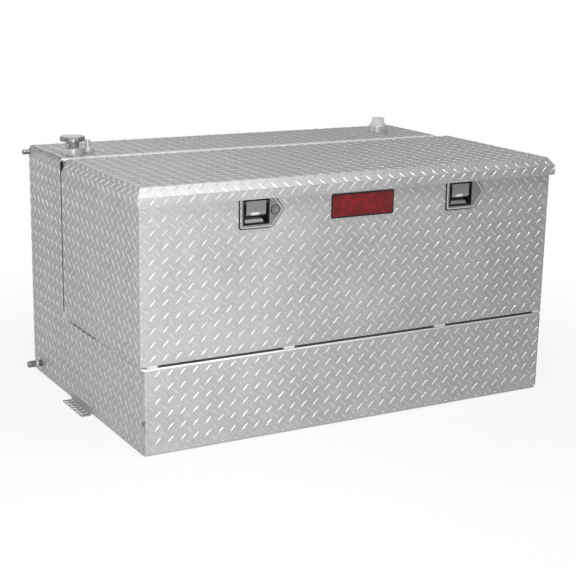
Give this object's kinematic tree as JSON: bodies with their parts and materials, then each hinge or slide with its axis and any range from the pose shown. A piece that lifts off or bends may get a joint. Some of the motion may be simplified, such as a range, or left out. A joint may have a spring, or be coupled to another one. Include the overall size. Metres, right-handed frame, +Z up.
{
  "type": "truck bed transfer tank",
  "caption": "Step-shaped aluminium tread-plate fuel tank with a hinged toolbox set in its step, paddle latches, capped filler, vent and plugged pump opening.",
  "frame": {"origin": "middle of the tank's underside", "axes": "+X along the tank towards its pump end, +Y towards its rear, +Z up"},
  "size_m": [1.2915, 0.8056, 0.7088],
  "materials": {
    "sheet": "tread plate, mill finish",
    "plain_sheet": "plain sheet, mill finish",
    "weld": "ripple of a stitch weld, unground",
    "fitting": "turned, light cut marks",
    "cap": "cast, satin",
    "vent": "turned steel",
    "plug": "white moulded plastic",
    "port": "plated steel",
    "hinge": "rolled steel strip",
    "latch": "pressed stainless steel, satin",
    "lock": "bright plating",
    "zinc": "zinc-plated pressed steel",
    "seal": "black, matt",
    "tube": "black paint, satin",
    "rod": "ground and plated",
    "plate": "plain red field in a dark border"
  },
  "bodies": {
    "tank": {"tank_wrap": "sheet", "tank_rear": "sheet", "tank_end_left": "sheet", "tank_end_right": "sheet", "baffle_left": "plain_sheet", "baffle_right": "plain_sheet", "filler_bung": "fitting", "filler_neck": "fitting", "vent_bung": "fitting", "vent_valve": "vent", "pump_bung": "fitting", "gauge_port_low": "port", "gauge_port_high": "port", "gauge_cap_low": "port", "gauge_cap_high": "port", "foot_left": "sheet", "foot_right": "sheet", "toolbox_wrap": "sheet", "toolbox_end_left": "sheet", "toolbox_end_right": "sheet", "rim_seal": "seal", "front_weld_beads": "weld", "end_weld_beads": "weld", "hinge_leaf_box": "hinge", "hinge_pin": "hinge", "latch_pan_left": "latch", "latch_pan_right": "latch", "latch_gasket_left": "seal", "latch_gasket_right": "seal", "bolt_guide_left": "zinc", "bolt_guide_right": "zinc", "lock_case": "lock", "panel_plate": "plate", "strut_post_left": "zinc", "strut_post_right": "zinc"},
    "lid": {"lid_skin": "sheet", "lid_channel": "plain_sheet", "hinge_leaf_lid": "hinge", "striker_left": "zinc", "striker_right": "zinc", "strut_bracket_left": "zinc", "strut_bracket_right": "zinc"},
    "paddle_left": {"latch_paddle_left": "latch"},
    "paddle_right": {"latch_paddle_right": "latch"},
    "bolt_left": {"latch_bolt_left": "zinc"},
    "bolt_right": {"latch_bolt_right": "zinc"},
    "lock": {"lock_plug": "lock"},
    "filler_seal": {"filler_ring": "seal"},
    "filler_lid": {"filler_cap": "cap"},
    "plug_seal": {"pump_washer": "seal"},
    "plug": {"pump_plug": "plug"},
    "strut_tube_left": {"strut_tube_left": "tube"},
    "strut_tube_right": {"strut_tube_right": "tube"},
    "strut_rod_left": {"strut_rod_left": "rod"},
    "strut_rod_right": {"strut_rod_right": "rod"}
  },
  "joints": [
    {"name": "lid_hinge", "type": "hinge", "parent": "tank", "child": "lid", "pos_m": [0, 0.12523, 0.62707], "axis": [-1, 0, 0], "range_deg": [0, 60]},
    {"name": "paddle_pull_left", "type": "hinge", "parent": "tank", "child": "paddle_left", "pos_m": [-0.3035, -0.39, 0.6073], "axis": [-1, 0, 0], "range_deg": [0, 35], "stiffness_Nm_per_rad": 0.6, "springref_deg": -11.46},
    {"name": "bolt_slide_left", "type": "slide", "parent": "tank", "child": "bolt_left", "axis": [0, -1, 0], "range_m": [0, 0.007]},
    {"name": "paddle_pull_right", "type": "hinge", "parent": "tank", "child": "paddle_right", "pos_m": [0.3105, -0.39, 0.6073], "axis": [-1, 0, 0], "range_deg": [0, 35], "stiffness_Nm_per_rad": 0.6, "springref_deg": -11.46},
    {"name": "bolt_slide_right", "type": "slide", "parent": "tank", "child": "bolt_right", "axis": [0, -1, 0], "range_m": [0, 0.007]},
    {"name": "lock_turn", "type": "hinge", "parent": "tank", "child": "lock", "pos_m": [-0.252, -0.3948, 0.5858], "axis": [0, 1, 0], "range_deg": [0, 90]},
    {"name": "filler_lift", "type": "slide", "parent": "tank", "child": "filler_seal", "axis": [0, 0, 1], "range_m": [0, 0.06]},
    {"name": "filler_turn", "type": "hinge", "parent": "filler_seal", "child": "filler_lid", "pos_m": [-0.554, 0.193, 0.697], "axis": [0, 0, 1], "continuous": true},
    {"name": "plug_lift", "type": "slide", "parent": "tank", "child": "plug_seal", "axis": [0, 0, 1], "range_m": [0, 0.06]},
    {"name": "plug_turn", "type": "hinge", "parent": "plug_seal", "child": "plug", "pos_m": [0.477, 0.27, 0.682], "axis": [0, 0, 1], "continuous": true},
    {"name": "strut_tilt_left", "type": "hinge", "parent": "tank", "child": "strut_tube_left", "pos_m": [-0.578, 0.06, 0.47], "axis": [-1, 0, 0], "range_deg": [0, 40.61]},
    {"name": "strut_slide_left", "type": "slide", "parent": "strut_tube_left", "child": "strut_rod_left", "axis": [0, -0.7452, 0.6668], "range_m": [0, 0.1331]},
    {"name": "strut_tilt_right", "type": "hinge", "parent": "tank", "child": "strut_tube_right", "pos_m": [0.578, 0.06, 0.47], "axis": [-1, 0, 0], "range_deg": [0, 40.61]},
    {"name": "strut_slide_right", "type": "slide", "parent": "strut_tube_right", "child": "strut_rod_right", "axis": [0, -0.7452, 0.6668], "range_m": [0, 0.1331]}
  ],
  "couplings": [
    {"joint": "bolt_slide_left", "follows": "paddle_pull_left", "m_per_rad": 0.011458},
    {"joint": "bolt_slide_right", "follows": "paddle_pull_right", "m_per_rad": 0.011458},
    {"joint": "strut_tilt_left", "follows": "lid_hinge", "ratio": 0.67662},
    {"joint": "strut_slide_left", "follows": "lid_hinge", "m_per_rad": 0.12701},
    {"joint": "strut_tilt_right", "follows": "lid_hinge", "ratio": 0.67662},
    {"joint": "strut_slide_right", "follows": "lid_hinge", "m_per_rad": 0.12701}
  ]
}
